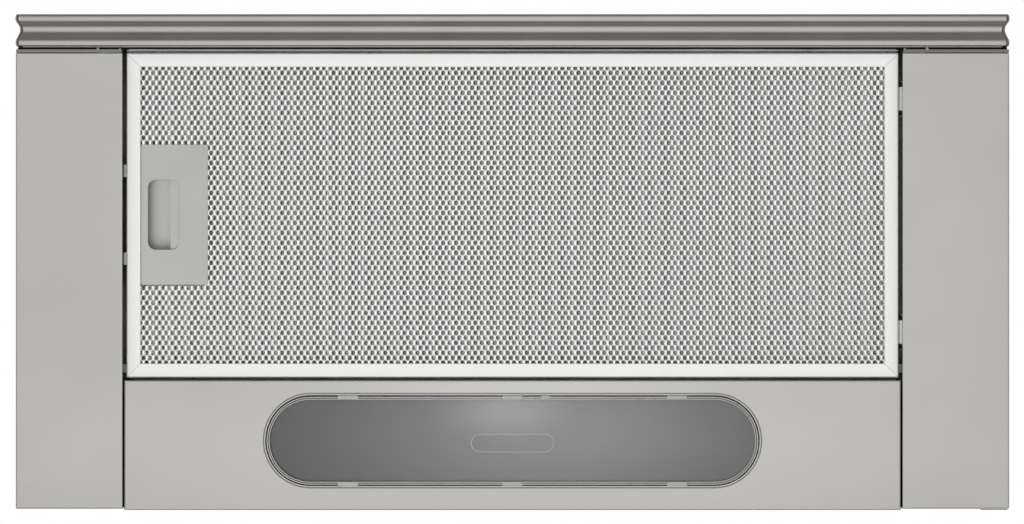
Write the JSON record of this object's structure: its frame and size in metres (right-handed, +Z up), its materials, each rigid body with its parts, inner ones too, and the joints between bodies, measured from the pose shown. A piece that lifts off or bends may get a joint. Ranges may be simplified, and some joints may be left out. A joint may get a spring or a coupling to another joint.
{
  "type": "range hood",
  "caption": "Slim pull-out cooker hood for a wall cabinet, with a sliding filter drawer, moulded metal trim, long lamp lens, twin-inlet blower and round outlet collar.",
  "frame": {"origin": "below the middle of the hood, on the plane of its underside", "axes": "+X along the width to the user's right, -Y the front that faces the user, +Z up"},
  "size_m": [0.5982, 0.2986, 0.1801],
  "materials": {
    "trim_aluminium": "satin extruded",
    "satin_aluminium": "bright satin",
    "mesh_aluminium": "expanded mesh",
    "stainless": "fine brushed",
    "galvanised": "galvanised sheet",
    "zinc_steel": "zinc plated",
    "reflector": "matt reflector",
    "dark_plastic": "fine grain",
    "grey_plastic": "fine grain",
    "latch_plastic": "fine grain",
    "white_plastic": "smooth",
    "clear_lens": "clear moulded",
    "frosted_glass": "frosted",
    "motor_paint": "paint"
  },
  "bodies": {
    "casing": {"base_plate": "galvanised", "cable_gland": "dark_plastic", "capacitor": "white_plastic", "casing_shell": "galvanised", "collar_screws": "zinc_steel", "control_panel": "grey_plastic", "damper_pin": "zinc_steel", "drawer_switch": "dark_plastic", "edge_piece_left": "grey_plastic", "inlet_guard": "dark_plastic", "inner_filter_frame": "satin_aluminium", "inner_filter_pack": "mesh_aluminium", "lamp_holder_left": "white_plastic", "lamp_holder_right": "white_plastic", "lamp_left": "frosted_glass", "lamp_lens": "clear_lens", "lamp_panel": "stainless", "lamp_right": "frosted_glass", "lamp_tray": "reflector", "motor": "motor_paint", "motor_bracket": "zinc_steel", "outlet_collar": "dark_plastic", "rail_outer_left": "zinc_steel", "rail_outer_right": "zinc_steel", "rear_pad": "dark_plastic", "scroll_left": "grey_plastic", "scroll_right": "grey_plastic", "side_panel_left": "stainless", "side_panel_right": "stainless", "switch_block": "dark_plastic", "terminal_box": "white_plastic", "terminal_cover": "white_plastic"},
    "drawer": {"trim_bar": "trim_aluminium", "trim_cap_left": "grey_plastic", "trim_cap_right": "grey_plastic", "trim_screws": "zinc_steel", "drawer_front_plate": "galvanised", "drawer_arm_left": "galvanised", "drawer_arm_right": "galvanised", "drawer_top_plate": "stainless", "drawer_rear_bar": "galvanised", "rail_inner_left": "zinc_steel", "rail_inner_right": "zinc_steel"},
    "cage_left": {"ball_cage_left": "zinc_steel"},
    "cage_right": {"ball_cage_right": "zinc_steel"},
    "drawer_filter": {"filter_frame": "satin_aluminium", "filter_mesh_lower": "mesh_aluminium", "filter_filling": "mesh_aluminium", "filter_mesh_upper": "mesh_aluminium", "latch_housing": "latch_plastic", "latch_springs": "zinc_steel", "filter_hinge_tabs": "latch_plastic"},
    "latch": {"latch_slider": "latch_plastic"},
    "second_latch": {"inner_latch_slider": "latch_plastic"},
    "fan": {"impeller": "dark_plastic", "motor_shaft": "zinc_steel"},
    "flap_front": {"damper_flap_front": "dark_plastic"},
    "flap_rear": {"damper_flap_rear": "dark_plastic"},
    "speed_control": {"speed_slider": "dark_plastic"},
    "light_control": {"light_slider": "dark_plastic"}
  },
  "joints": [
    {"name": "drawer_slide", "type": "slide", "parent": "casing", "child": "drawer", "axis": [0, -1, 0], "range_m": [0, 0.175]},
    {"name": "cage_left_slide", "type": "slide", "parent": "casing", "child": "cage_left", "axis": [0, -1, 0], "range_m": [0, 0.0875]},
    {"name": "cage_right_slide", "type": "slide", "parent": "casing", "child": "cage_right", "axis": [0, -1, 0], "range_m": [0, 0.0875]},
    {"name": "filter_hinge", "type": "hinge", "parent": "drawer", "child": "drawer_filter", "pos_m": [0.2342, -0.02825, 0.0036], "axis": [0, -1, 0], "range_deg": [0, 35]},
    {"name": "latch_slide", "type": "slide", "parent": "drawer_filter", "child": "latch", "axis": [1, 0, 0], "range_m": [0, 0.004], "stiffness_N_per_m": 500, "springref_m": -0.002, "deforming": ["latch_springs"]},
    {"name": "second_latch_slide", "type": "slide", "parent": "casing", "child": "second_latch", "axis": [0, 1, 0], "range_m": [0, 0.005], "stiffness_N_per_m": 400, "springref_m": -0.002},
    {"name": "fan_spin", "type": "hinge", "parent": "casing", "child": "fan", "pos_m": [0, 0.035, 0.098], "axis": [1, 0, 0], "continuous": true},
    {"name": "flap_front_hinge", "type": "hinge", "parent": "casing", "child": "flap_front", "pos_m": [0, 0.007, 0.1529], "axis": [-1, 0, 0], "range_deg": [0, 80]},
    {"name": "flap_rear_hinge", "type": "hinge", "parent": "casing", "child": "flap_rear", "pos_m": [0, 0.007, 0.1529], "axis": [1, 0, 0], "range_deg": [0, 80]},
    {"name": "speed_slide", "type": "slide", "parent": "casing", "child": "speed_control", "axis": [1, 0, 0], "range_m": [0, 0.018]},
    {"name": "light_slide", "type": "slide", "parent": "casing", "child": "light_control", "axis": [1, 0, 0], "range_m": [0, 0.006]}
  ],
  "couplings": [
    {"joint": "cage_left_slide", "follows": "drawer_slide", "ratio": 0.5},
    {"joint": "cage_right_slide", "follows": "drawer_slide", "ratio": 0.5}
  ]
}
